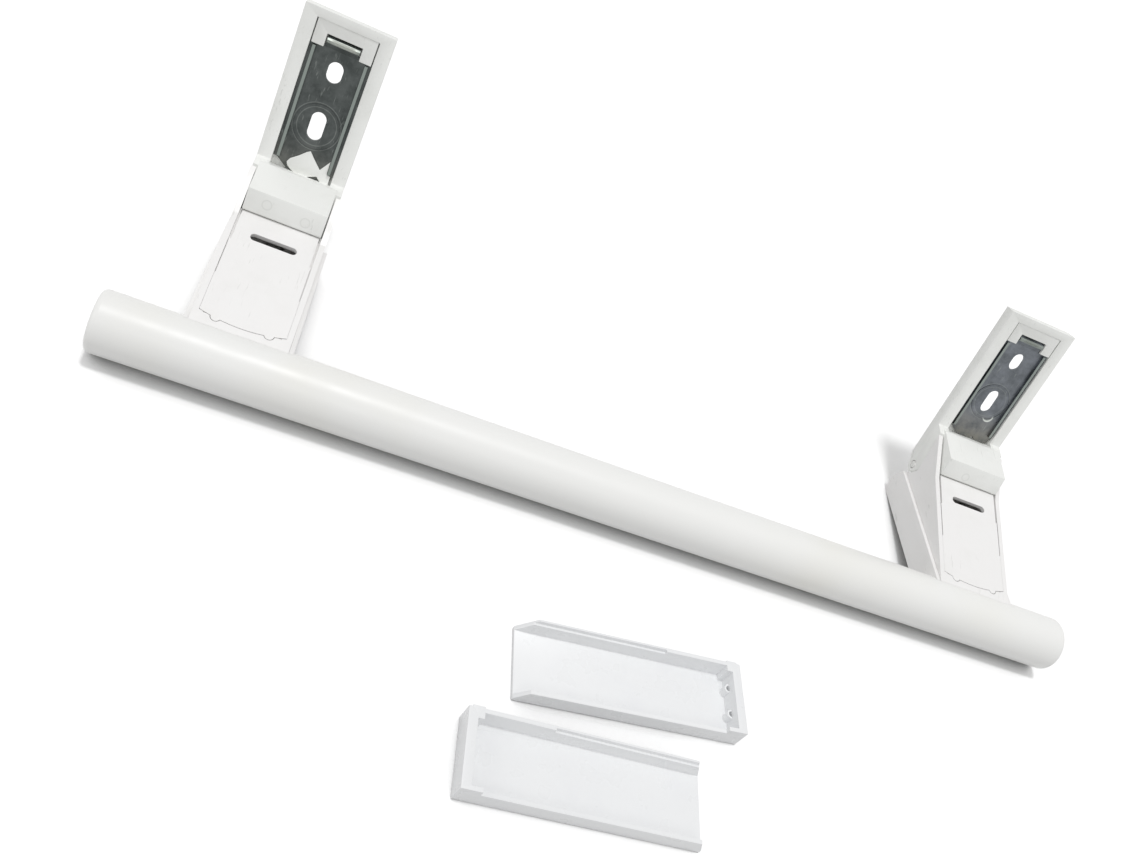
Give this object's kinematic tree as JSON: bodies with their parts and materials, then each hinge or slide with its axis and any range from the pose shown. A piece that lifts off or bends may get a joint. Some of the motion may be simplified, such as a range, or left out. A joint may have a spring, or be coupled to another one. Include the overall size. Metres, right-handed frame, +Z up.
{
  "type": "refrigerator door handle",
  "caption": "Round bar handle on hinged lever arms, with slotted steel mounting plates in the bases and two clip-fit covers lying in front.",
  "frame": {"origin": "on the table, under the middle of the box that holds the handle and its loose covers", "axes": "+X along the grip bar to the right, +Y from the loose covers and the bar to the bases, +Z up from the table"},
  "size_m": [0.31, 0.1792, 0.0719],
  "materials": {
    "bar_paint": "smooth white powder coat, satin",
    "white_plastic": "white ABS, lightly polished mould",
    "base_plastic": "white ABS, plain mould finish",
    "cover_plastic": "white ABS, polished mould",
    "plate_steel": "pressed sheet steel, zinc plated and dull grey",
    "bright_steel": "plain drawn or turned steel",
    "insert_brass": "turned brass"
  },
  "bodies": {
    "handle": {"handle_bar": "bar_paint", "left_bar_cap": "white_plastic", "right_bar_cap": "white_plastic", "left_cover": "cover_plastic", "right_cover": "cover_plastic", "left_lever_shell": "white_plastic", "left_lever_core": "white_plastic", "left_lever_panel": "white_plastic", "left_bar_screw": "bright_steel", "left_bar_insert": "insert_brass", "left_hinge_pin": "bright_steel", "left_return_spring": "bright_steel", "right_lever_shell": "white_plastic", "right_lever_core": "white_plastic", "right_lever_panel": "white_plastic", "right_bar_screw": "bright_steel", "right_bar_insert": "insert_brass", "right_hinge_pin": "bright_steel", "right_return_spring": "bright_steel"},
    "left_base": {"left_base_housing": "base_plastic", "left_mounting_plate": "plate_steel"},
    "right_base": {"right_base_housing": "base_plastic", "right_mounting_plate": "plate_steel"}
  },
  "joints": [
    {"name": "left_base_hinge", "type": "hinge", "parent": "handle", "child": "left_base", "pos_m": [-0.1199, 0.06277, 0.0138], "axis": [-1, 0, 0], "range_deg": [0, 15], "stiffness_Nm_per_rad": 0.02, "springref_deg": -28.65, "deforming": ["left_return_spring"]},
    {"name": "right_base_hinge", "type": "hinge", "parent": "handle", "child": "right_base", "pos_m": [0.1199, 0.06277, 0.0138], "axis": [-1, 0, 0], "range_deg": [0, 15], "stiffness_Nm_per_rad": 0.02, "springref_deg": -28.65, "deforming": ["right_return_spring"]}
  ]
}
